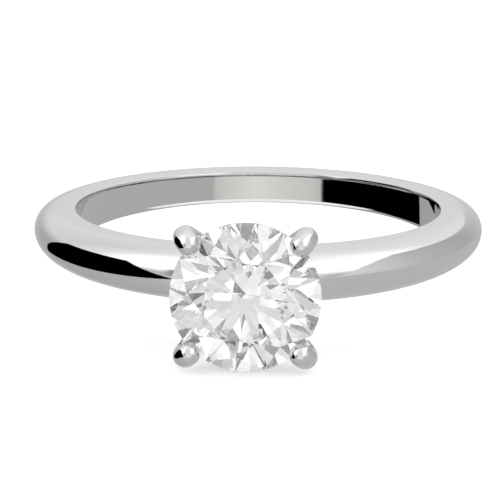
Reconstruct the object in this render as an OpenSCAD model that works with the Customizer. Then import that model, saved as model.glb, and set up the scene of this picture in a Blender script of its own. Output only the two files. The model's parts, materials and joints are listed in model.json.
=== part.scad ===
// Four-prong solitaire ring: a tapered shank, a fabricated peg head and a round brilliant stone.
//
// Row frame: the origin is the centre of the finger bore, +Z runs along the bore, and the stone
// faces -Y. The head is drawn in its own frame, where +Z points out of the shank along the
// stone's axis, and set_head() turns it into place. Heights in the head are distances from the
// centre of the bore.

/* [Finger bore] */
// Inside diameter of the ring
bore_d = 16.1; // [13:0.1:23]
// Radius that eases the inner edges of the shank
edge_ease = 0.2; // [0.1:0.05:0.4]

/* [Shank] */
// Radial thickness at the back of the finger
back_thickness = 2.1; // [1.6:0.1:3]
// Radial thickness at the sides of the finger
side_thickness = 1.85; // [1.5:0.05:2.8]
// Radial thickness under the head
shoulder_thickness = 2.1; // [1.7:0.1:3]
// Width along the finger at the back
back_width = 1.4; // [1.2:0.1:3]
// Width along the finger at the sides
side_width = 1.8; // [1.4:0.1:3.5]
// Width along the finger under the head
shoulder_width = 2.3; // [1.9:0.1:4]
// Radial depth of the rounded outer face
crown_depth = 1.0; // [0.6:0.1:1.2]

/* [Stone] */
// Girdle diameter
stone_d = 6.5; // [5:0.1:8.5]
// Table size, in percent of the girdle diameter
table_percent = 57; // [53:1:62]
// Slope of the bezel facets, in degrees
crown_angle = 34.5; // [32:0.5:36]
// Slope of the pavilion main facets, in degrees
pavilion_angle = 40.8; // [40:0.2:42]
// Reach of the star facets, in percent of the way from table to girdle
star_percent = 50; // [45:1:60]
// Length of the lower half facets, in percent of the way from girdle to culet
lower_half_percent = 77; // [70:1:85]
// Thickness of the girdle where the main facets meet it
girdle_thickness = 0.18; // [0.1:0.02:0.3]
// Turn of the stone in its setting, in degrees
stone_turn = 15; // [0:1:44]

/* [Head] */
// Distance that the culet dips below the top of the shank
culet_dip = 0.12; // [0:0.02:0.3]
// Clearance between the stone and the collet, rail and peg
stone_clearance = 0.12; // [0.08:0.02:0.25]
// Diameter of the peg and of its hole in the shank
peg_d = 1.4; // [1.1:0.05:1.65]
// Height of the peg above the top of the shank
peg_rise = 0.15; // [0.1:0.05:0.25]
// Diameter of the collet at its foot
collet_foot_d = 2.6; // [2.3:0.1:3.4]
// Diameter of the collet at its rim
collet_rim_d = 3.7; // [3.4:0.1:4.5]
// Height of the collet's rim above the top of the shank
collet_rise = 0.6; // [0.5:0.05:0.8]
// Depth that the collet's saddle reaches below the top of the shank
collet_skirt = 0.6; // [0.4:0.05:0.9]
// Wire diameter of the gallery rail
rail_wire_d = 0.7; // [0.5:0.05:0.85]
// Distance from the girdle down to the middle of the gallery rail
rail_drop = 1.4; // [1.2:0.05:1.6]

/* [Prongs] */
// Wire diameter at the claw
claw_d = 1.0; // [0.85:0.05:1.2]
// Wire diameter at the foot
prong_foot_d = 0.8; // [0.6:0.05:0.95]
// Inside radius of the bend over the girdle
claw_bend_inside = 0.05; // [0.03:0.01:0.2]
// Distance from the girdle's edge to the outermost face of the claw
claw_reach = 0.91; // [0.75:0.01:1.1]
// Lean of the claw's end over the crown, in degrees past upright
claw_lean = 60; // [45:1:65]
// Distance from the stone's axis to the middle of each prong's foot
prong_foot_r = 1.3; // [1.2:0.05:1.5]
// Height of each prong's foot above or below the top of the shank
prong_foot_rise = -0.03; // [-0.1:0.01:0.1]

/* [Hidden] */
$fn = 96;

polished = [0.82, 0.82, 0.84];
stone_clear = [0.93, 0.96, 1.0, 0.6];

// Directions of the prongs around the stone's axis, from +X towards +Z
upper_right = 45;
upper_left = 135;
lower_left = 225;
lower_right = 315;
prong_turns = [upper_right, upper_left, lower_left, lower_right];

// Shank
bore_r = bore_d / 2;
crest_h = bore_r + shoulder_thickness;
shank_sections = 90;
crown_steps = 14;
ease_steps = 3;
// The eased edge runs a little past the bore wall, so that the two meet at a clean angle.
ease_overrun = 0.02;
// The blank is left thick inside, and the bore is cut from it.
bore_allowance = 0.5;
// Cutting tools stand clear of what they cut by this much.
spare = 1;

// Stone, measured from the middle of its girdle
stone_r = stone_d / 2;
half_girdle = girdle_thickness / 2;
mains = 8;
half_step = 180 / mains;
table_r = stone_r * table_percent / 100;
table_edge_r = table_r * cos(half_step);
table_h = half_girdle + (stone_r - table_r) * tan(crown_angle);
star_tip_r = table_edge_r + (stone_r - table_edge_r) * star_percent / 100;
star_tip_h = half_girdle + (stone_r - star_tip_r * cos(half_step)) * tan(crown_angle);
lower_tip_r = stone_r * (1 - lower_half_percent / 100);
lower_tip_h = -half_girdle - (stone_r - lower_tip_r * cos(half_step)) * tan(pavilion_angle);
pavilion_depth = stone_r * tan(pavilion_angle);
culet_h = -half_girdle - pavilion_depth;
// The half facets run on past the girdle and meet in a sharp rim, which the girdle cuts off.
upper_fall = (star_tip_h - half_girdle) / (stone_r - star_tip_r);
lower_fall = -(lower_tip_h + half_girdle) / (stone_r - lower_tip_r);
rim_r = stone_r + girdle_thickness / (upper_fall + lower_fall);
rim_h = half_girdle - (rim_r - stone_r) * upper_fall;

// Head
culet_at = crest_h - culet_dip;
girdle_at = culet_at - culet_h;
peg_r = peg_d / 2;
peg_top = crest_h + peg_rise;
collet_bottom = crest_h - collet_skirt;
collet_top = crest_h + collet_rise;
relief_tip = culet_at - stone_clearance / cos(pavilion_angle);
rail_wire_r = rail_wire_d / 2;
rail_at = girdle_at - rail_drop;
rail_r = (rail_at - culet_at) / tan(pavilion_angle)
         + (rail_wire_r + stone_clearance) / sin(pavilion_angle);

// Prongs, in the plane through the stone's axis: [distance from the axis, height]
claw_r = claw_d / 2;
claw_bend_r = claw_r + claw_bend_inside;
joined_r = claw_r - 0.01;
joint_depth = 0.02;
prong_foot_wire_r = prong_foot_d / 2;
bend_centre = [stone_r + claw_reach - claw_r - claw_bend_r, girdle_at];
prong_foot = [prong_foot_r, crest_h + prong_foot_rise];
foot_to_bend = bend_centre - prong_foot;
// The shaft is tangent to the bend: its slope is that of the line to the bend's centre, turned
// by the angle that the bend's radius takes up.
prong_slope = atan2(foot_to_bend[0], foot_to_bend[1]) + asin(claw_bend_r / norm(foot_to_bend));
shaft_length = sqrt(norm(foot_to_bend) ^ 2 - claw_bend_r ^ 2);
bend_turn = prong_slope + claw_lean;

// A size that passes through its values at the back, at the sides and under the head.
// The share along is 0 at the back, 0.5 at the sides and 1 under the head.
function taper(back, side, shoulder, along) =
    back * (1 - along) * (1 - 2 * along) + side * 4 * along * (1 - along)
    + shoulder * along * (2 * along - 1);

// The rounded outer face of one section, as [distance from the bore's axis, height] points.
function crown_points(thickness, width) =
    [for (i = [0:crown_steps])
        let (a = -90 + 180 * i / crown_steps)
        [bore_r + thickness - crown_depth + crown_depth * cos(a), width / 2 * sin(a)]];

// One eased inner edge, from the side face inwards. The side is 1 at the top and -1 below.
function eased_points(width, side) =
    [for (i = [0:ease_steps])
        let (a = 90 * i / ease_steps)
        [bore_r - ease_overrun + edge_ease * (1 - sin(a)),
         side * (width / 2 - edge_ease * (1 - cos(a)))]];

function reversed(points) = [for (i = [len(points) - 1:-1:0]) points[i]];

function section_points(thickness, width) =
    concat(
        crown_points(thickness, width),
        eased_points(width, 1),
        [[bore_r - bore_allowance, width / 2 - edge_ease],
         [bore_r - bore_allowance, edge_ease - width / 2]],
        reversed(eased_points(width, -1)));

// The shank before drilling: sections set side by side right round the finger.
module shank_blank() {
    rows = [for (i = [0:shank_sections - 1])
        let (turn = 360 * i / shank_sections, along = (1 - sin(turn)) / 2)
        [for (p = section_points(
                taper(back_thickness, side_thickness, shoulder_thickness, along),
                taper(back_width, side_width, shoulder_width, along)))
            [p[0] * cos(turn), p[0] * sin(turn), p[1]]]];
    count = len(rows[0]);
    faces = [for (i = [0:shank_sections - 1], j = [0:count - 1])
        let (next_row = (i + 1) % shank_sections, next = (j + 1) % count)
        [i * count + j, i * count + next, next_row * count + next, next_row * count + j]];
    polyhedron(points = [for (row = rows) each row], faces = faces, convexity = 10);
}

module finger_bore() {
    bore_length = shoulder_width + back_width + side_width;
    cylinder(r = bore_r, h = bore_length, center = true);
}

// Turns the head's frame into the row frame.
module set_head() {
    rotate([90, 0, 0]) children();
}

// The round brilliant as its facet planes give it, with a sharp rim instead of a girdle.
// Rings of points: table corners, star tips, rim, lower half tips, and the culet.
module sharp_brilliant() {
    function ring(count, turn, r, h) =
        [for (i = [0:count - 1]) [r * cos(turn + i * 360 / count), r * sin(turn + i * 360 / count), h]];
    star = mains;
    rim = star + mains;
    lower = rim + 2 * mains;
    culet = lower + mains;
    points = concat(
        ring(mains, 0, table_r, table_h),
        ring(mains, half_step, star_tip_r, star_tip_h),
        ring(2 * mains, 0, rim_r, rim_h),
        ring(mains, half_step, lower_tip_r, lower_tip_h),
        [[0, 0, culet_h]]);
    table_face = [for (i = [mains - 1:-1:0]) i];
    side_faces = [for (i = [0:mains - 1])
        let (next = (i + 1) % mains, last = (i + mains - 1) % mains,
             here = rim + 2 * i, mid = here + 1, after = rim + 2 * next)
        each [
            [i, next, star + i],
            [i, star + i, here, star + last],
            [star + i, mid, here],
            [star + i, after, mid],
            [lower + i, here, mid],
            [lower + i, mid, after],
            [culet, lower + last, here, lower + i]]];
    polyhedron(points = points, faces = concat([table_face], side_faces), convexity = 2);
}

module set_stone() {
    translate([0, 0, girdle_at]) rotate([0, 0, stone_turn]) children();
}

module brilliant() {
    set_stone() intersection() {
        sharp_brilliant();
        cylinder(r = stone_r, h = 2 * stone_d, center = true);
    }
}

// The space round the pavilion that the head keeps clear.
module pavilion_relief() {
    relief_height = girdle_at - relief_tip;
    translate([0, 0, relief_tip])
        cylinder(r1 = 0, r2 = relief_height / tan(pavilion_angle), h = relief_height);
}

module half_ball(r) {
    rotate_extrude() intersection() {
        circle(r = r);
        square([r, r]);
    }
}

// One prong's wire before its seat and notch are cut: shaft, foot, bend and claw end. The shaft
// and the claw's end are a hair thinner than the bend and run a little way into it.
module prong_wire(turn) {
    rotate([0, 0, turn]) translate([bend_centre[0], 0, bend_centre[1]]) {
        rotate([0, prong_slope, 0]) {
            rotate([90, 0, 0]) rotate_extrude(angle = bend_turn)
                translate([claw_bend_r, 0]) circle(r = claw_r);
            translate([claw_bend_r, 0, -shaft_length]) {
                cylinder(r1 = prong_foot_wire_r, r2 = joined_r, h = shaft_length + joint_depth);
                rotate([180, 0, 0]) half_ball(prong_foot_wire_r);
            }
        }
        rotate([0, -claw_lean, 0]) translate([claw_bend_r, 0, -joint_depth]) half_ball(joined_r);
    }
}

// The prongs and the rail are let into each other by half: inside this radius the rail is whole.
module lap_core() {
    cylinder(r = rail_r, h = girdle_at + spare);
}

// The square notch filed in the inner side of each prong for the rail.
module rail_notch() {
    translate([0, 0, rail_at - rail_wire_r]) cylinder(r = rail_r, h = rail_wire_d);
}

module prong(turn) {
    color(polished) difference() {
        set_head() difference() {
            prong_wire(turn);
            brilliant();
            rail_notch();
        }
        shank_blank();
    }
}

module shank() {
    color(polished) difference() {
        shank_blank();
        finger_bore();
        set_head() cylinder(r = peg_r, h = crest_h + spare);
    }
}

module head_peg() {
    color(polished) difference() {
        set_head() difference() {
            cylinder(r = peg_r, h = peg_top);
            pavilion_relief();
        }
        finger_bore();
    }
}

module base_collet() {
    color(polished) difference() {
        set_head() difference() {
            rotate_extrude() polygon([
                [peg_r, collet_bottom], [collet_foot_d / 2, collet_bottom],
                [collet_rim_d / 2, collet_top], [peg_r, collet_top]]);
            pavilion_relief();
            for (turn = prong_turns) prong_wire(turn);
        }
        shank_blank();
    }
}

module gallery_rail() {
    color(polished) set_head() difference() {
        rotate_extrude() translate([rail_r, rail_at]) circle(r = rail_wire_r);
        difference() {
            for (turn = prong_turns) prong_wire(turn);
            lap_core();
        }
    }
}

module diamond() {
    color(stone_clear) set_head() brilliant();
}

shank();
head_peg();
base_collet();
gallery_rail();
prong(upper_left);  // prong_upper_left
prong(upper_right);  // prong_upper_right
prong(lower_left);  // prong_lower_left
prong(lower_right);  // prong_lower_right
diamond();
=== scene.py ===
"""A four-prong solitaire ring on a pale studio floor.

Everything is in metres, in the ring's own frame: the origin is the centre of the finger bore,
+Z runs along the bore, and the stone faces -Y. The head is made in a frame of its own, with +Z
along the stone's axis, away from the finger, and into_head() turns it into place.
"""

import json
import math

import bpy
from mathutils import Matrix, Vector


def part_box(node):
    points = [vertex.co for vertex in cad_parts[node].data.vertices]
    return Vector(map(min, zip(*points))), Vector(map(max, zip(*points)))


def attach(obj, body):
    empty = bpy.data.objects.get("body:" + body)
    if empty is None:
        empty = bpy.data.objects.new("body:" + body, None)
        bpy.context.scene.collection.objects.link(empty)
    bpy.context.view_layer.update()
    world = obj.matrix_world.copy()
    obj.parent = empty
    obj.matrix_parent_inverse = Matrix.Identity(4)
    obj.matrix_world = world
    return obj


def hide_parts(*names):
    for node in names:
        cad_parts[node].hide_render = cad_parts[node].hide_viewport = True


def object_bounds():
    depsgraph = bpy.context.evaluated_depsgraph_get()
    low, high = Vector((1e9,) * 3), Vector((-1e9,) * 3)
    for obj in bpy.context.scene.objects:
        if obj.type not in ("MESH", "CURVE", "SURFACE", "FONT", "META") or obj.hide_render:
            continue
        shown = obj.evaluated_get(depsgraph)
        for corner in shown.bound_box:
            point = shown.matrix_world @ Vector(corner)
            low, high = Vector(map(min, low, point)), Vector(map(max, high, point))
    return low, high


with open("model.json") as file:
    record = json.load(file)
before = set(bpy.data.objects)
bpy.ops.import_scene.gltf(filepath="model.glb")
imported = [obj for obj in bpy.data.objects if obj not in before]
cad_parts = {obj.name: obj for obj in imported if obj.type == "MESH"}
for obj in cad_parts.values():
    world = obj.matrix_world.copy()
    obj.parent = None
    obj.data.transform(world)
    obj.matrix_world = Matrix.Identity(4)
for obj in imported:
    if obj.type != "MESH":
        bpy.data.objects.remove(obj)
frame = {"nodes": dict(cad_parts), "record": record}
cad_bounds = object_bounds()

MM = 0.001


# ---------------------------------------------------------------------------
# Sizes
# ---------------------------------------------------------------------------

BORE_R = frame["record"]["mounts"][0]["dims"]["r_mm"] * MM
SECTOR_DEG = 7.0            # half the sector in which a size of the CAD shank is read
FACET_SLACK = 0.007 * MM


def band_size(towards):
    """The CAD shank's thickness and width in one direction around the finger, in degrees.

    The thickness is a hair less, so that the rounder visual stays within the CAD's facets.
    """
    thickness = width = 0.0
    for vertex in frame["nodes"]["shank"].data.vertices:
        x, y, z = vertex.co
        turn = math.degrees(math.atan2(y, x)) - towards
        if abs((turn + 180.0) % 360.0 - 180.0) < SECTOR_DEG:
            thickness = max(thickness, math.hypot(x, y) - BORE_R)
            width = max(width, 2.0 * abs(z))
    return thickness - FACET_SLACK, width


# Directions around the finger: the head stands towards -Y.
TOWARDS_HEAD, TOWARDS_SIDE, TOWARDS_BACK = -90.0, 0.0, 90.0
BACK, SIDE, SHOULDER = band_size(TOWARDS_BACK), band_size(TOWARDS_SIDE), band_size(TOWARDS_HEAD)
CROWN_DEPTH = 1.0 * MM      # radial depth of the shank's rounded outer face
# The inner edges: the bore's wall swells gently away from the finger, then turns a small corner.
# Each stretch of the swell has a width, and its tilts off the wall at both ends, in degrees.
SWELL = ((0.07 * MM, 17.0, 8.2), (0.09 * MM, 8.2, 5.0))
CORNER_RISE = 0.05 * MM
CORNER_DROP = 0.02 * MM
WALL_REST = 0.01 * MM       # the wall is straight again this far below the swell
CREST = BORE_R + SHOULDER[0]

# The stone, measured along its axis from the middle of its girdle
STONE_LOW, STONE_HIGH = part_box("diamond")
STONE_R = (STONE_HIGH.x - STONE_LOW.x) / 2.0
TABLE_RATIO = 0.57
CROWN_SLOPE = math.tan(math.radians(34.5))
PAVILION_SLOPE = math.tan(math.radians(40.8))
STAR_RATIO = 0.50           # how far the star facets reach from the table towards the girdle
LOWER_HALF_RATIO = 0.77     # how far the lower halves reach from the girdle towards the culet
STONE_TURN = math.radians(15.0)
MAINS = 8                   # main facets round the crown, and round the pavilion
HALF_STEP = math.pi / MAINS
TABLE_R = STONE_R * TABLE_RATIO
CULET_AT = -STONE_HIGH.y
TABLE_AT = -STONE_LOW.y
GIRDLE = TABLE_AT - CULET_AT - (STONE_R - TABLE_R) * CROWN_SLOPE - STONE_R * PAVILION_SLOPE
GIRDLE_AT = CULET_AT + STONE_R * PAVILION_SLOPE + GIRDLE / 2.0

# The head's metalwork
PEG_R = (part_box("head_peg")[1].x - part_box("head_peg")[0].x) / 2.0
PEG_TOP = -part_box("head_peg")[0].y
COLLET_TOP = -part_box("base_collet")[0].y
COLLET_BOTTOM = -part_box("base_collet")[1].y
COLLET_RIM_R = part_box("base_collet")[1].x
COLLET_FOOT_R = 1.3 * MM
STONE_CLEARANCE = 0.12 * MM
RAIL_WIRE_R = (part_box("gallery_rail")[1].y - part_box("gallery_rail")[0].y) / 2.0
RAIL_AT = -(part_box("gallery_rail")[1].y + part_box("gallery_rail")[0].y) / 2.0
RAIL_R = (RAIL_AT - CULET_AT) / PAVILION_SLOPE + (
    RAIL_WIRE_R + STONE_CLEARANCE) / math.sin(math.atan(PAVILION_SLOPE))

# The prongs, in the plane through the stone's axis
CLAW_R = 0.5 * MM
PRONG_FOOT_R = 0.4 * MM
CLAW_BEND_R = 0.55 * MM
CLAW_REACH = 0.91 * MM
CLAW_LEAN = math.radians(60.0)
PRONG_FOOT = Vector((1.3 * MM, CREST - 0.03 * MM))
BEND_CENTRE = Vector((STONE_R + CLAW_REACH - CLAW_R - CLAW_BEND_R, GIRDLE_AT))
PRONG_TURNS = {
    "prong_upper_right": 45.0,
    "prong_upper_left": 135.0,
    "prong_lower_left": 225.0,
    "prong_lower_right": 315.0,
}


# ---------------------------------------------------------------------------
# Mesh helpers
# ---------------------------------------------------------------------------

SHARP_DEG = 35.0


def new_piece(name, points, faces, smooth=True):
    """A mesh object from points and faces, linked to the scene."""
    mesh = bpy.data.meshes.new(name)
    mesh.from_pydata([tuple(p) for p in points], [], faces)
    mesh.validate()
    mesh.update()
    if smooth:
        smooth_but_sharp(mesh)
    piece = bpy.data.objects.new(name, mesh)
    bpy.context.scene.collection.objects.link(piece)
    return piece


def smooth_but_sharp(mesh):
    """Smooth shading that keeps true edges crisp."""
    for polygon in mesh.polygons:
        polygon.use_smooth = True
    mesh.set_sharp_from_angle(angle=math.radians(SHARP_DEG))


def wrap_rows(rows, close_rows=False):
    """Quads between rows of points that each close on themselves, as (points, faces)."""
    count = len(rows[0])
    spans = len(rows) if close_rows else len(rows) - 1
    faces = []
    for i in range(spans):
        here, after = i * count, (i + 1) % len(rows) * count
        for j in range(count):
            step = (j + 1) % count
            faces.append((here + j, here + step, after + step, after + j))
    return [p for row in rows for p in row], faces


def cap_rows(points, faces, first, last):
    """Closes the two ends of a sweep with a point in the middle of each."""
    count = len(first)
    ends = (
        (0, sum(first, Vector()) / count, True),
        (len(points) - count, sum(last, Vector()) / count, False),
    )
    for ring_start, middle, flip in ends:
        points.append(middle)
        hub = len(points) - 1
        for j in range(count):
            a, b = ring_start + j, ring_start + (j + 1) % count
            faces.append((b, a, hub) if flip else (a, b, hub))


def around(steps):
    """The angles of equal steps right round."""
    return [2.0 * math.pi * i / steps for i in range(steps)]


def level_circle(radius, height, steps):
    """Points of a circle about +Z."""
    return [Vector((radius * math.cos(a), radius * math.sin(a), height)) for a in around(steps)]


def at_turn(profile, turn):
    """A profile of (radius, height) points, stood up in the plane at one angle about +Z."""
    return [Vector((r * math.cos(turn), r * math.sin(turn), h)) for r, h in profile]


def turned(profile, steps):
    """A closed solid of revolution about +Z from a closed profile of (radius, height) points."""
    return wrap_rows([at_turn(profile, turn) for turn in around(steps)], close_rows=True)


def into_head(points):
    """Points of the head's frame in the ring's frame."""
    return [Vector((p[0], -p[2], p[1])) for p in points]


def cut(piece, tool):
    """Takes the tool's solid out of the piece, and applies the result.

    The tool's faces have to be wound outwards. One that is inside out takes nothing away, and only
    draws its outline on the piece.
    """
    step = piece.modifiers.new("cut", "BOOLEAN")
    step.operation = "DIFFERENCE"
    step.solver = "EXACT"
    step.object = tool
    graph = bpy.context.evaluated_depsgraph_get()
    result = bpy.data.meshes.new_from_object(piece.evaluated_get(graph))
    piece.modifiers.clear()
    old, piece.data = piece.data, result
    bpy.data.meshes.remove(old)
    result.name = piece.name
    smooth_but_sharp(result)


def drop(*tools):
    """Removes cutting tools from the scene."""
    for tool in tools:
        bpy.data.objects.remove(tool)


# ---------------------------------------------------------------------------
# The shank
# ---------------------------------------------------------------------------

SHANK_SECTIONS = 320
CROWN_STEPS = 44
CORNER_STEPS = 8
SWELL_STEPS = 5
WALL_STEPS = 4


def taper(back, side, shoulder, along):
    """A size through its values at the back (0), the sides (0.5) and the head (1)."""
    return (back * (1 - along) * (1 - 2 * along) + side * 4 * along * (1 - along)
            + shoulder * along * (2 * along - 1))


def inner_edge():
    """The inner edge from the side face to the straight wall, as (rise off the wall, way down)."""
    steep = math.radians(SWELL[0][1])
    corner_end = math.atan(CORNER_RISE / (CORNER_DROP * math.tan(steep)))
    edge = []
    for i in range(CORNER_STEPS + 1):
        a = corner_end * i / CORNER_STEPS
        edge.append((-CORNER_RISE * math.sin(a), CORNER_DROP * (1 - math.cos(a))))
    for width, start, end in SWELL:
        for i in range(SWELL_STEPS):
            tilt = math.radians(start + (end - start) * (i + 0.5) / SWELL_STEPS)
            rise, down = edge[-1]
            edge.append((rise - math.tan(tilt) * width / SWELL_STEPS, down + width / SWELL_STEPS))
    edge = [(rise - edge[-1][0], down) for rise, down in edge]
    edge.append((0.0, edge[-1][1] + WALL_REST))
    return edge


INNER_EDGE = inner_edge()


def section(thickness, width):
    """One closed section of the shank, as (distance from the bore's axis, height) points."""
    half = width / 2.0
    ring = []
    for i in range(CROWN_STEPS + 1):
        a = math.pi * (i / CROWN_STEPS - 0.5)
        ring.append((BORE_R + thickness + CROWN_DEPTH * (math.cos(a) - 1), half * math.sin(a)))
    wall_half = half - INNER_EDGE[-1][1]
    ring += [(BORE_R + rise, half - down) for rise, down in INNER_EDGE]
    ring += [(BORE_R, wall_half * (1 - 2.0 * i / WALL_STEPS)) for i in range(1, WALL_STEPS)]
    ring += [(BORE_R + rise, down - half) for rise, down in reversed(INNER_EDGE)]
    return ring


def make_shank(name):
    """The tapered band before its hole is drilled."""
    rows = []
    for turn in around(SHANK_SECTIONS):
        along = (1 - math.sin(turn)) / 2.0
        thickness, width = (taper(*sizes, along) for sizes in zip(BACK, SIDE, SHOULDER))
        rows.append(at_turn(section(thickness, width), turn))
    points, faces = wrap_rows(rows, close_rows=True)
    return new_piece(name, points, faces)


# ---------------------------------------------------------------------------
# The stone
# ---------------------------------------------------------------------------

GIRDLE_STEPS = 6            # girdle edges under each half facet


def stone_mesh(swell=0.0):
    """The round brilliant's facets, as (points, faces, girdle face count), in the head's frame.

    A swell makes it larger all round, for cutting seats that clear it.
    """
    table_h = GIRDLE / 2.0 + (STONE_R - TABLE_R) * CROWN_SLOPE
    table_edge_r = TABLE_R * math.cos(HALF_STEP)
    star_r = table_edge_r + (STONE_R - table_edge_r) * STAR_RATIO
    star_h = GIRDLE / 2.0 + (STONE_R - star_r * math.cos(HALF_STEP)) * CROWN_SLOPE
    lower_r = STONE_R * (1 - LOWER_HALF_RATIO)
    lower_h = -GIRDLE / 2.0 - (STONE_R - lower_r * math.cos(HALF_STEP)) * PAVILION_SLOPE
    culet_h = -GIRDLE / 2.0 - STONE_R * PAVILION_SLOPE
    upper_fall = (star_h - GIRDLE / 2.0) / (STONE_R - star_r)
    lower_fall = (lower_h + GIRDLE / 2.0) / (STONE_R - lower_r)
    edges = 2 * MAINS * GIRDLE_STEPS

    points = []

    def ring(count, turn, r, h):
        """Adds equally spaced points at one height, and returns their numbers."""
        start = len(points)
        for i in range(count):
            a = turn + 2.0 * math.pi * i / count
            points.append((r * math.cos(a), r * math.sin(a), h))
        return [start + i for i in range(count)]

    table = ring(MAINS, 0.0, TABLE_R, table_h)
    star = ring(MAINS, HALF_STEP, star_r, star_h)
    lower = ring(MAINS, HALF_STEP, lower_r, lower_h)
    culet = ring(1, 0.0, 0.0, culet_h)[0]
    upper_edge = ring(edges, 0.0, STONE_R, 0.0)
    lower_edge = ring(edges, 0.0, STONE_R, 0.0)
    for j in range(edges):
        # The half facets' planes fall away most at the middle of each facet.
        off = (j % GIRDLE_STEPS) / GIRDLE_STEPS * HALF_STEP - HALF_STEP / 2.0
        dip = STONE_R * (math.cos(off) / math.cos(HALF_STEP / 2.0) - 1.0)
        x, y, _ = points[upper_edge[j]]
        points[upper_edge[j]] = (x, y, GIRDLE / 2.0 - dip * upper_fall)
        points[lower_edge[j]] = (x, y, -GIRDLE / 2.0 - dip * lower_fall)

    faces = [tuple(table)]
    for i in range(MAINS):
        after, last = (i + 1) % MAINS, i - 1
        here = 2 * i * GIRDLE_STEPS
        half = [(here + k) % edges for k in range(GIRDLE_STEPS + 1)]
        other = [(here + GIRDLE_STEPS + k) % edges for k in range(GIRDLE_STEPS + 1)]
        faces.append((table[i], star[i], table[after]))
        faces.append((table[i], star[last], upper_edge[here], star[i]))
        faces.append((star[i], *(upper_edge[k] for k in half)))
        faces.append((star[i], *(upper_edge[k] for k in other)))
        faces.append((lower[i], *(lower_edge[k] for k in reversed(half))))
        faces.append((lower[i], *(lower_edge[k] for k in reversed(other))))
        faces.append((culet, lower[i], lower_edge[here], lower[last]))
    for j in range(edges):
        step = (j + 1) % edges
        faces.append((upper_edge[j], lower_edge[j], lower_edge[step], upper_edge[step]))

    grow = 1.0 + swell / STONE_R
    turn = Matrix.Rotation(STONE_TURN, 3, "Z")
    placed = [turn @ (Vector(p) * grow) + Vector((0.0, 0.0, GIRDLE_AT)) for p in points]
    return placed, faces, edges


def make_diamond(name):
    """The stone, whose girdle takes its second material."""
    points, faces, girdle_faces = stone_mesh()
    piece = new_piece(name, into_head(points), faces, smooth=False)
    for polygon in piece.data.polygons[len(faces) - girdle_faces:]:
        polygon.material_index = 1
    return piece


# ---------------------------------------------------------------------------
# The head
# ---------------------------------------------------------------------------

WIRE_SIDES = 48
SHAFT_ROWS = 30
BEND_ROWS = 30
DOME_ROWS = 14
TURN_STEPS = 160
RAIL_WIRE_SIDES = 40
PEG_STEPS = 96
LAP_STEPS = 160
SEAT_GAP = 0.006 * MM
EDGE_POLISH = 0.05 * MM     # radius that rounds the collet's edges and breaks the peg's


def prong_path():
    """The prong wire's stations from foot to claw, as (middle, direction, wire radius).

    A middle is (distance from the stone's axis, height). The shaft runs straight from the foot to
    the bend round the girdle, and a dome closes each end.
    """
    to_bend = BEND_CENTRE - PRONG_FOOT
    slope = math.atan2(to_bend[0], to_bend[1]) + math.asin(CLAW_BEND_R / to_bend.length)
    length = math.sqrt(to_bend.length ** 2 - CLAW_BEND_R ** 2)
    along = Vector((math.sin(slope), math.cos(slope)))
    stations = []
    for i in range(DOME_ROWS):
        a = math.pi / 2.0 * (i + 0.5) / DOME_ROWS
        stations.append((PRONG_FOOT - along * PRONG_FOOT_R * math.cos(a), along,
                         PRONG_FOOT_R * math.sin(a)))
    for i in range(SHAFT_ROWS + 1):
        share = i / SHAFT_ROWS
        stations.append((PRONG_FOOT + along * length * share, along,
                         PRONG_FOOT_R + (CLAW_R - PRONG_FOOT_R) * share))
    for i in range(1, BEND_ROWS + 1):
        a = -slope + (slope + CLAW_LEAN) * i / BEND_ROWS
        out = Vector((math.cos(a), math.sin(a)))
        stations.append((BEND_CENTRE + out * CLAW_BEND_R, Vector((-out[1], out[0])), CLAW_R))
    end, way, _ = stations[-1]
    for i in range(1, DOME_ROWS + 1):
        a = math.pi / 2.0 * (i - 0.5) / DOME_ROWS
        stations.append((end + way * CLAW_R * math.sin(a), way, CLAW_R * math.cos(a)))
    return stations


def wire_rows(turn_deg):
    """The prong wire's rings of points, in the head's frame. They wind the wire inside out."""
    turn = Matrix.Rotation(math.radians(turn_deg), 3, "Z")
    rows = []
    for middle, way, radius in prong_path():
        across = Vector((way[1], -way[0]))
        ring = []
        for a in around(WIRE_SIDES):
            off = across * radius * math.cos(a)
            ring.append(turn @ Vector((middle[0] + off[0], -radius * math.sin(a),
                                       middle[1] + off[1])))
        rows.append(ring)
    return rows


def wire_piece(name, turn_deg):
    """A whole prong wire, before any cuts."""
    rows = wire_rows(turn_deg)
    points, faces = wrap_rows(rows)
    cap_rows(points, faces, rows[0], rows[-1])
    return new_piece(name, into_head(points), faces)


def make_prong(name, turn_deg):
    """A prong: its wire, with a seat for the stone and a notch for the rail."""
    piece = wire_piece(name, turn_deg)
    seat_points, seat_faces, _ = stone_mesh(swell=SEAT_GAP)
    seat = new_piece("seat_tool", into_head(seat_points), seat_faces, smooth=False)
    notch = lap_tool("notch_tool", RAIL_AT - RAIL_WIRE_R, RAIL_AT + RAIL_WIRE_R)
    cut(piece, seat)
    cut(piece, notch)
    drop(seat, notch)
    return piece


def lap_tool(name, low, high):
    """A plain round plug about the stone's axis, as wide as the middle of the rail."""
    points, faces = wrap_rows([level_circle(RAIL_R, h, LAP_STEPS) for h in (low, high)])
    faces.append(tuple(reversed(range(LAP_STEPS))))
    faces.append(tuple(range(LAP_STEPS, 2 * LAP_STEPS)))
    return new_piece(name, into_head(points), faces)


def make_rail(name):
    """The rail, let into the prongs: outside its middle line it gives way to each wire."""
    profile = [(RAIL_R + RAIL_WIRE_R * math.cos(a), RAIL_AT + RAIL_WIRE_R * math.sin(a))
               for a in around(RAIL_WIRE_SIDES)]
    points, faces = turned(profile, TURN_STEPS)
    rail = new_piece(name, into_head(points), faces)
    for turn in PRONG_TURNS.values():
        wire = wire_piece("wire_tool", turn)
        core = lap_tool("core_tool", CREST, GIRDLE_AT)
        cut(wire, core)
        cut(rail, wire)
        drop(wire, core)
    return rail


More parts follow.
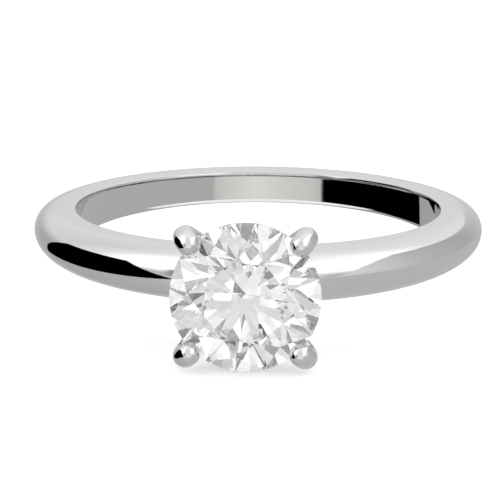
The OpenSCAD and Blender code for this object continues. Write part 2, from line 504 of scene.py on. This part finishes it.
def rounded(corners, radius, steps=5):
    """A closed profile with its soft corners rounded. Each corner is (radius, height, soft)."""
    out = []
    for i, (x, y, soft) in enumerate(corners):
        here = Vector((x, y))
        if not soft:
            out.append((x, y))
            continue
        before = Vector(corners[i - 1][:2]) - here
        after = Vector(corners[(i + 1) % len(corners)][:2]) - here
        start, end = here + before.normalized() * radius, here + after.normalized() * radius
        for k in range(steps + 1):
            t = k / steps
            p = start * (1 - t) ** 2 + here * 2 * t * (1 - t) + end * t ** 2
            out.append((p[0], p[1]))
    return out


def relief_r(height):
    """Radius of the space that the head keeps clear round the pavilion."""
    tip = CULET_AT - STONE_CLEARANCE / math.cos(math.atan(PAVILION_SLOPE))
    return (height - tip) / PAVILION_SLOPE


def make_collet(name, shank):
    """The collet, marked with the outlines of the prongs and of the shank.

    The wires and the shank are inside out as tools, so the collet stays whole inside their metal,
    where it can't be seen.
    """
    relief_start = COLLET_TOP - (relief_r(COLLET_TOP) - PEG_R) * PAVILION_SLOPE
    profile = rounded([
        (PEG_R, COLLET_BOTTOM, False),
        (COLLET_FOOT_R, COLLET_BOTTOM, True),
        (COLLET_RIM_R, COLLET_TOP, True),
        (relief_r(COLLET_TOP), COLLET_TOP, True),
        (PEG_R, relief_start, False),
    ], EDGE_POLISH)
    points, faces = turned(profile, TURN_STEPS)
    collet = new_piece(name, into_head(points), faces)
    for turn in PRONG_TURNS.values():
        wire = wire_piece("wire_tool", turn)
        cut(collet, wire)
        drop(wire)
    cut(collet, shank)
    return collet


def make_peg(name):
    """The peg: a recess for the culet on top, and an end cut flush with the bore."""
    recess_r = relief_r(PEG_TOP)
    floor_h = PEG_TOP - recess_r * PAVILION_SLOPE
    rows = [level_circle(r, h, PEG_STEPS) for r, h in (
        (recess_r * 0.5, (PEG_TOP + floor_h) / 2.0),
        (recess_r, PEG_TOP),
        (PEG_R - EDGE_POLISH, PEG_TOP),
        (PEG_R, PEG_TOP - EDGE_POLISH),
    )]
    for share in (1.0, 0.75, 0.5, 0.25):
        rows.append([Vector((x, y, math.sqrt(BORE_R ** 2 - x ** 2)))
                     for x, y, _ in level_circle(PEG_R * share, 0.0, PEG_STEPS)])
    points, faces = wrap_rows(rows)
    cap_rows(points, faces, rows[0], rows[-1])
    points[-2] = Vector((0.0, 0.0, floor_h))
    points[-1] = Vector((0.0, 0.0, BORE_R))
    faces = [tuple(reversed(face)) for face in faces]
    return new_piece(name, into_head(points), faces)


def peg_hole_tool():
    """The drill for the peg's hole, which runs a millimetre past the shank both ways."""
    rows = [level_circle(PEG_R, h, PEG_STEPS) for h in (BORE_R - MM, CREST + MM)]
    points, faces = wrap_rows(rows)
    cap_rows(points, faces, rows[0], rows[-1])
    return new_piece("hole_tool", into_head(points), faces)


# ---------------------------------------------------------------------------
# Materials
# ---------------------------------------------------------------------------

DIAMOND_IOR = 2.417
POLISH_ROUGHNESS = 0.02


class Wiring:
    """Adds nodes to one tree and links them as they are made."""

    def __init__(self, tree):
        self.tree = tree

    def add(self, kind, inputs=None, **settings):
        node = self.tree.nodes.new(kind)
        for key, value in settings.items():
            setattr(node, key, value)
        for key, value in (inputs or {}).items():
            self.join(value, node.inputs[key])
        return node

    def join(self, value, socket):
        if isinstance(value, bpy.types.NodeSocket):
            self.tree.links.new(value, socket)
        else:
            socket.default_value = value

    def math(self, operation, *values):
        node = self.add("ShaderNodeMath", operation=operation)
        for socket, value in zip(node.inputs, values):
            self.join(value, socket)
        return node.outputs[0]

    def blend(self, first, second, share):
        """From the first colour to the second as the share goes from 0 to 1."""
        node = self.add("ShaderNodeMix", {"Factor": share}, data_type="RGBA")
        node.inputs["A"].default_value = first
        node.inputs["B"].default_value = second
        return [socket for socket in node.outputs if socket.type == "RGBA"][0]

    def bump(self, height, strength, distance, **more):
        """A normal from a height, on top of another Normal if there is one."""
        return self.add("ShaderNodeBump", {
            "Height": height, "Strength": strength, "Distance": distance, **more}).outputs[0]

    def fade(self, value, start, end, low=0.0, high=1.0, curve="SMOOTHSTEP"):
        """Goes from low to high as the value goes from start to end."""
        node = self.add("ShaderNodeMapRange", interpolation_type=curve, inputs={
            "Value": value, "From Min": start, "From Max": end, "To Min": low, "To Max": high})
        return node.outputs["Result"]

    def through(self, value, points, span):
        """A straight-line curve through (position, height) points, both within the spans given."""
        (first, last), (low, high) = span
        ramp = self.add("ShaderNodeValToRGB", {
            "Fac": self.fade(value, first, last, curve="LINEAR")})
        stops = ramp.color_ramp.elements
        while len(stops) < len(points):
            stops.new(0.5)
        for stop, (position, height) in zip(stops, points):
            stop.position = (position - first) / (last - first)
            stop.color = [(height - low) / (high - low)] * 3 + [1.0]
        return self.fade(ramp.outputs["Color"], 0.0, 1.0, low, high, curve="LINEAR")


def new_group(name, inputs, outputs):
    """An empty node group with named number sockets. Returns it with its wiring and its two ends."""
    group = bpy.data.node_groups.new(name, "ShaderNodeTree")
    for label, value in inputs.items():
        socket = group.interface.new_socket(label, in_out="INPUT", socket_type="NodeSocketFloat")
        socket.default_value = value
    for label in outputs:
        group.interface.new_socket(label, in_out="OUTPUT", socket_type="NodeSocketFloat")
    wiring = Wiring(group)
    return group, wiring, wiring.add("NodeGroupInput").outputs, wiring.add("NodeGroupOutput").inputs


def polish_marks_group():
    """Fine marks of the polishing wheel and of wear, shared by metal and stone.

    Height is for a bump, Haze adds to roughness, and Wave is the slow unevenness of hand polish.
    """
    group, w, given, out = new_group(
        "polish_marks", {"Marks per mm": 14.0, "Stretch": 8.0, "Wave mm": 3.0},
        ("Height", "Haze", "Wave"))
    place = w.add("ShaderNodeTexCoord").outputs["Object"]
    size = w.math("MULTIPLY", given["Marks per mm"], 1.0 / MM)
    across = w.add("ShaderNodeCombineXYZ", {
        "X": size, "Y": size, "Z": w.math("MULTIPLY", size, given["Stretch"])})
    stretched = w.add("ShaderNodeVectorMath", operation="MULTIPLY")
    w.join(place, stretched.inputs[0])
    w.join(across.outputs[0], stretched.inputs[1])
    marks = w.add("ShaderNodeTexNoise", {
        "Vector": stretched.outputs[0], "Scale": 1.0, "Detail": 3.0, "Roughness": 0.6})
    cloud = w.add("ShaderNodeTexNoise", {
        "Vector": place, "Scale": 0.9 / MM, "Detail": 4.0, "Roughness": 0.55})
    wave = w.add("ShaderNodeTexNoise", {
        "Vector": place, "Scale": w.math("DIVIDE", 1.0 / MM, given["Wave mm"]), "Detail": 1.0})
    w.join(marks.outputs[0], out["Height"])
    w.join(w.math("MULTIPLY", w.fade(marks.outputs[0], 0.45, 0.75),
                  w.fade(cloud.outputs[0], 0.4, 0.7)), out["Haze"])
    w.join(wave.outputs[0], out["Wave"])
    return group


def new_material(name):
    """A material, its wiring and its shader."""
    material = bpy.data.materials.new(name)
    material.use_nodes = True
    wiring = Wiring(material.node_tree)
    return material, wiring, material.node_tree.nodes["Principled BSDF"]


def place_group(wiring, group, **values):
    """Puts a group in a material with its own values, and returns its outputs."""
    node = wiring.add("ShaderNodeGroup", node_tree=group)
    for label, value in values.items():
        node.inputs[label.replace("_", " ")].default_value = value
    return node.outputs


def polished_gold(name, marks_group, haze, bright=0.845, wave=0.5):
    """Rhodium-plated white gold: mirror polish with fine marks, haze and a slow hand-made wave.

    Haze is the roughness where the polish is most worn, and wave is the strength of the wave.
    """
    material, w, shader = new_material(name)
    marks = place_group(w, marks_group)
    polished = (bright, bright, bright, 1.0)
    worn = (bright - 0.045, bright - 0.045, bright - 0.04, 1.0)
    w.join(w.blend(polished, worn, marks["Haze"]), shader.inputs["Base Color"])
    w.join(w.fade(marks["Haze"], 0.0, 1.0, POLISH_ROUGHNESS, haze), shader.inputs["Roughness"])
    slow = w.bump(marks["Wave"], wave, 0.02 * MM)
    fine = w.bump(marks["Height"], 0.12, 0.002 * MM, Normal=slow)
    w.join(fine, shader.inputs["Normal"])
    shader.inputs["Metallic"].default_value = 1.0
    return material


def cut_diamond(name, marks_group):
    """Polished facets, with the faintest haze of handling."""
    material, w, shader = new_material(name)
    marks = place_group(w, marks_group)
    w.join(w.fade(marks["Haze"], 0.0, 1.0, 0.0, 0.004), shader.inputs["Roughness"])
    shader.inputs["Base Color"].default_value = (0.985, 0.99, 1.0, 1.0)
    shader.inputs["Transmission Weight"].default_value = 1.0
    shader.inputs["IOR"].default_value = DIAMOND_IOR
    return material


def ground_girdle(name, marks_group):
    """The stone's girdle: ground, not polished, so it is frosty and finely pitted."""
    material, w, shader = new_material(name)
    marks = place_group(w, marks_group, Marks_per_mm=40.0, Stretch=1.0)
    w.join(w.fade(marks["Height"], 0.3, 0.7, 0.25, 0.5), shader.inputs["Roughness"])
    w.join(w.bump(marks["Height"], 0.3, 0.004 * MM), shader.inputs["Normal"])
    shader.inputs["Base Color"].default_value = (0.97, 0.98, 1.0, 1.0)
    shader.inputs["Transmission Weight"].default_value = 1.0
    shader.inputs["IOR"].default_value = DIAMOND_IOR
    return material


# ---------------------------------------------------------------------------
# The ring
# ---------------------------------------------------------------------------

WALL_REACH = 0.04 * MM      # how far off the bore its hazier polish and its painted shade go


def mark_bore(piece):
    """Gives the faces that line the finger bore the piece's second material: a hazier polish,
    darkened by painted shade.
    """
    for polygon in piece.data.polygons:
        if math.hypot(*polygon.center[:2]) < BORE_R + WALL_REACH:
            polygon.material_index = 1


def set_piece(piece, node, slot, *materials):
    """Gives a piece its materials, and puts it in the place of its CAD node."""
    for material in materials:
        piece.data.materials.append(material)
    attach(piece, "root")
    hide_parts(node)


marks = polish_marks_group()
gold = polished_gold("white_gold", marks, haze=0.10)
wire_gold = polished_gold("white_gold_wire", marks, haze=0.14)
# The bore's metal has a hazier polish. It is also darker, which is painted shade of the ring's
# inside.
bore_gold_painted_shade = polished_gold("white_gold_bore_painted_shade", marks, haze=0.16, bright=0.73, wave=0.9)
shank = make_shank("ring_shank")
collet = make_collet("lower_collet", shank)
hole = peg_hole_tool()
cut(shank, hole)
drop(hole)
peg = make_peg("setting_peg")
mark_bore(shank)
mark_bore(peg)
set_piece(shank, "shank", "white_gold", gold, bore_gold_painted_shade)
set_piece(collet, "base_collet", "white_gold", wire_gold)
set_piece(peg, "head_peg", "white_gold", wire_gold, bore_gold_painted_shade)
set_piece(make_rail("upper_rail"), "gallery_rail", "white_gold", wire_gold)
for node, turn in PRONG_TURNS.items():
    set_piece(make_prong(node.replace("prong_", "claw_"), turn), node, "white_gold", wire_gold)
set_piece(make_diamond("round_brilliant"), "diamond", "diamond",
          cut_diamond("diamond", marks), ground_girdle("diamond_girdle", marks))

# ---------------------------------------------------------------------------
# Camera, floor and light
# ---------------------------------------------------------------------------

VIEW_AZIMUTH = math.radians(2.4)
VIEW_ELEVATION = math.radians(13.36)
VIEW_ROLL = math.radians(0.23)
VIEW_DISTANCE = 320 * MM
AIM_RIGHT = -0.354 * MM     # where the camera aims, from the centre of the bore
AIM_UP = -0.973 * MM
LENS = 520.7                # focal length in the lens's own millimetres
NEAREST = 10 * MM           # what is nearer than this isn't drawn


def place_camera():
    """The camera looks from the stone's side, a little from above and from the right."""
    back = Vector((math.sin(VIEW_AZIMUTH) * math.cos(VIEW_ELEVATION),
                   -math.cos(VIEW_AZIMUTH) * math.cos(VIEW_ELEVATION), math.sin(VIEW_ELEVATION)))
    right = Vector((math.cos(VIEW_AZIMUTH), math.sin(VIEW_AZIMUTH), 0.0))
    up = back.cross(right)
    aim = AIM_RIGHT * right + AIM_UP * up
    data = bpy.data.cameras.new("camera")
    data.lens = LENS
    data.clip_start = NEAREST
    camera = bpy.data.objects.new("camera", data)
    bpy.context.scene.collection.objects.link(camera)
    axes = Matrix((right, up, back)).transposed() @ Matrix.Rotation(VIEW_ROLL, 3, "Z")
    camera.matrix_world = Matrix.Translation(aim + back * VIEW_DISTANCE) @ axes.to_4x4()
    bpy.context.scene.camera = camera


place_camera()

FLOOR_GAP = 0.03 * MM
FLOOR_AT = cad_bounds[0][2] - FLOOR_GAP
FLOOR_SIZE = 1.5
FLOOR_GLOW = 0.72


def make_floor(level):
    """A pale sheet under the ring, with the faintest paper texture.

    It glows, so that it stays white. Reflections and the stone's inside see the studio instead.
    """
    half = FLOOR_SIZE / 2.0
    floor = new_piece("pale_floor", [(-half, -half, level), (half, -half, level),
                                     (half, half, level), (-half, half, level)], [(0, 1, 2, 3)],
                      smooth=False)
    material, w, shader = new_material("pale_floor")
    grain = w.add("ShaderNodeTexNoise", {
        "Vector": w.add("ShaderNodeTexCoord").outputs["Object"], "Scale": 0.4 / MM, "Detail": 2.0})
    colour = w.blend((0.72, 0.72, 0.72, 1.0), (0.75, 0.75, 0.75, 1.0), grain.outputs[0])
    w.join(colour, shader.inputs["Base Color"])
    w.join(colour, shader.inputs["Emission Color"])
    shader.inputs["Emission Strength"].default_value = FLOOR_GLOW
    shader.inputs["Roughness"].default_value = 0.8
    shader.inputs["Specular IOR Level"].default_value = 0.1
    floor.data.materials.append(material)
    floor.visible_glossy = floor.visible_transmission = False


make_floor(FLOOR_AT)

# Two cards are there to be reflected, with their corners in millimetres. A black one stands to the
# left of the ring and gives the polish its dark accents. A small white one lies inside the ring, at
# the level of the floor, and lights the bottom of the inner wall.
BLACK_CARD_X = -48.6
BLACK_CARD = [(BLACK_CARD_X, y, z) for y, z in ((-60, -24), (-22, 19), (16, 14), (48, -24))]
WHITE_CARD = [(x, y, FLOOR_AT / MM) for x, y in ((-2.4, 1.2), (2.4, 1.2), (2.4, 5.0), (-2.4, 5.0))]
WHITE_CARD_GLOW = 1.15


def make_card(name, corners, glow):
    """A four-cornered card. The camera doesn't see it, and it neither lights nor shades the floor."""
    card = new_piece(name, [Vector(corner) * MM for corner in corners], [(0, 1, 2, 3)], smooth=False)
    material, _, shader = new_material(name)
    shader.inputs["Base Color"].default_value = (0.0, 0.0, 0.0, 1.0)
    shader.inputs["Specular IOR Level"].default_value = 0.0
    shader.inputs["Emission Color"].default_value = (1.0, 1.0, 1.0, 1.0)
    shader.inputs["Emission Strength"].default_value = glow
    card.data.materials.append(material)
    card.visible_camera = card.visible_diffuse = card.visible_shadow = False
    return card


make_card("black_card", BLACK_CARD, 0.0)
white_card = make_card("white_card", WHITE_CARD, WHITE_CARD_GLOW)
white_card.visible_transmission = False

# The studio. Directions are in degrees: azimuth 0 is the viewer's side and grows to the right,
# elevation is up from the floor. Brightness is in the scene's own units, where 1 is paper white.
AZIMUTHS, ELEVATIONS, BRIGHTNESS = (-180.0, 180.0), (-90.0, 90.0), (0.0, 1.6)
CARD_EDGE = 1.2             # half the width of a patch's soft edge
SOFT_EDGE = 4.0

# The dome's brightness by azimuth, as (azimuth, brightness)
LOW_DOME = [(-180, 0.66), (-145, 0.44), (-60, 0.50), (-44, 0.60), (-30, 0.74), (-10, 0.84),
            (4, 0.92), (20, 0.80), (30, 0.70), (42, 0.52), (150, 0.52), (180, 0.66)]
HIGH_DOME = [(-180, 0.80), (-120, 0.72), (-95, 0.9), (-75, 1.35), (-46, 1.4), (-38, 0.80),
             (20, 0.78), (28, 1.35), (100, 1.3), (130, 0.9), (180, 0.80)]
HIGH_DOME_FROM, HIGH_DOME_FULL = 0.0, 18.0
ZENITH, ZENITH_FROM, ZENITH_FULL = 0.95, 40.0, 85.0
# Steeply downwards, the low dome is no brighter than the floor's shade.
FLOOR_SHADE, SHADE_FULL, SHADE_UNTIL = 0.55, -32.0, -20.0
# A dark grey card at the left, and a wide grey one from the right round to the back
DARK_CARD = 0.30
DARK_CARD_AT = (-46.0, -34.0, -8.0, 14.0)       # from and to in azimuth, from and to in elevation
GREY_CARD_FROM, GREY_CARD_TO, GREY_CARD_LOW = 28, 178, -34
GREY_CARD = [(-180, 0.66), (30, 0.78), (60, 0.72), (100, 0.52), (140, 0.44), (180, 0.66)]
GREY_CARD_TOP = [(28, -15), (48, 0), (60, 20), (75, 34), (95, 42), (120, 36), (178, 10)]
GREY_CARD_FOOT, FOOT_FULL, FOOT_UNTIL = 0.53, -10.0, -2.0
# What the stone's inside sees: the same light in patches, the viewer's shade and the lens in it
ROOM_LIMIT = 1.05
PATCH_SCALE, GLINT_SCALE = 4.0, 3.1
PATCH_DARK, PATCH_BRIGHT = 0.96, 1.62
GLINT_DARK = 0.26
VIEWER_SHADE = 0.75
VIEWER_AT = (-14.0, 14.0, -2.0, 32.0)
LENS_SHADE = 0.02
LENS_AT = (-5.0, 8.0, 8.0, 20.0)
COOL_WHITE = (0.995, 0.996, 1.0, 1.0)
WARM_WHITE = (1.0, 0.988, 0.962, 1.0)


def studio_light():
    """A soft dome with grey cards. The camera sees white, and the stone's inside a patchy room."""
    world = bpy.data.worlds.new("studio")
    bpy.context.scene.world = world
    world.use_nodes = True
    w = Wiring(world.node_tree)
    background = world.node_tree.nodes["Background"]
    direction = w.add("ShaderNodeTexCoord").outputs["Generated"]
    x, y, z = w.add("ShaderNodeSeparateXYZ", {0: direction}).outputs
    turn = w.math("DEGREES", w.math("ARCTAN2", x, w.math("MULTIPLY", y, -1.0)))
    rise = w.math("DEGREES", w.math("ARCSINE", z))

    def between(first, last, softness=CARD_EDGE):
        """1 between two azimuths."""
        return w.math("MULTIPLY", w.fade(turn, first - softness, first + softness),
                      w.fade(turn, last + softness, last - softness))

    def within(low, high, softness=CARD_EDGE):
        """1 between two edges, each a list of (azimuth, elevation)."""
        low_edge = w.through(turn, low, (AZIMUTHS, ELEVATIONS))
        high_edge = w.through(turn, high, (AZIMUTHS, ELEVATIONS))
        above = w.fade(w.math("SUBTRACT", rise, low_edge), -softness, softness)
        below = w.fade(w.math("SUBTRACT", high_edge, rise), -softness, softness)
        return w.math("MULTIPLY", above, below)

    def patch(first, last, low, high, softness=CARD_EDGE):
        """1 in a patch between two azimuths and two elevations."""
        return w.math("MULTIPLY", between(first, last, softness), within(
            [(first, low), (last, low)], [(first, high), (last, high)], softness))

    def lay(over, under, mask):
        node = w.add("ShaderNodeMix", data_type="FLOAT")
        w.join(mask, node.inputs[0])
        w.join(under, node.inputs[2])
        w.join(over, node.inputs[3])
        return node.outputs[0]

    def level(points):
        return w.through(turn, points, (AZIMUTHS, BRIGHTNESS))

    def noise(scale):
        return w.add("ShaderNodeTexNoise", {
            "Vector": direction, "Scale": scale, "Detail": 0.0}).outputs[0]

    low_dome = level(LOW_DOME)
    low_dome = lay(low_dome, w.math("MINIMUM", low_dome, FLOOR_SHADE),
                   w.fade(rise, SHADE_FULL, SHADE_UNTIL))
    light = lay(level(HIGH_DOME), low_dome, w.fade(rise, HIGH_DOME_FROM, HIGH_DOME_FULL))
    light = lay(ZENITH, light, w.fade(rise, ZENITH_FROM, ZENITH_FULL))
    light = lay(DARK_CARD, light, patch(*DARK_CARD_AT, SOFT_EDGE))
    grey = lay(level(GREY_CARD), GREY_CARD_FOOT, w.fade(rise, FOOT_FULL, FOOT_UNTIL))
    grey_bottom = [(GREY_CARD_FROM, GREY_CARD_LOW), (GREY_CARD_TO, GREY_CARD_LOW)]
    light = lay(grey, light, w.math(
        "MULTIPLY", between(GREY_CARD_FROM, GREY_CARD_TO, SOFT_EDGE),
        within(grey_bottom, GREY_CARD_TOP)))

    rays = w.add("ShaderNodeLightPath").outputs
    patches, glints = noise(PATCH_SCALE), noise(GLINT_SCALE)
    room = w.math("MULTIPLY", w.math("MINIMUM", light, ROOM_LIMIT),
                  w.fade(patches, 0.44, 0.56, PATCH_DARK, PATCH_BRIGHT))
    room = w.math("MULTIPLY", room, w.fade(glints, 0.60, 0.63, 1.0, GLINT_DARK))
    room = lay(VIEWER_SHADE, room, patch(*VIEWER_AT))
    room = lay(LENS_SHADE, room, patch(*LENS_AT))
    light = lay(room, light, rays["Is Transmission Ray"])
    w.join(lay(1.0, light, rays["Is Camera Ray"]), background.inputs["Strength"])

    # The light is a little warmer below the horizon, and in the stone's room by patches.
    warmth = lay(w.fade(glints, 0.42, 0.58), w.fade(rise, 8.0, -8.0), rays["Is Transmission Ray"])
    w.join(w.blend(COOL_WHITE, WARM_WHITE, warmth), background.inputs["Color"])


studio_light()

# The stone passes light between its facets many times.
scene = bpy.context.scene
scene.view_settings.view_transform = "Standard"
scene.cycles.max_bounces = 32
scene.cycles.transmission_bounces = 32
scene.cycles.glossy_bounces = 12
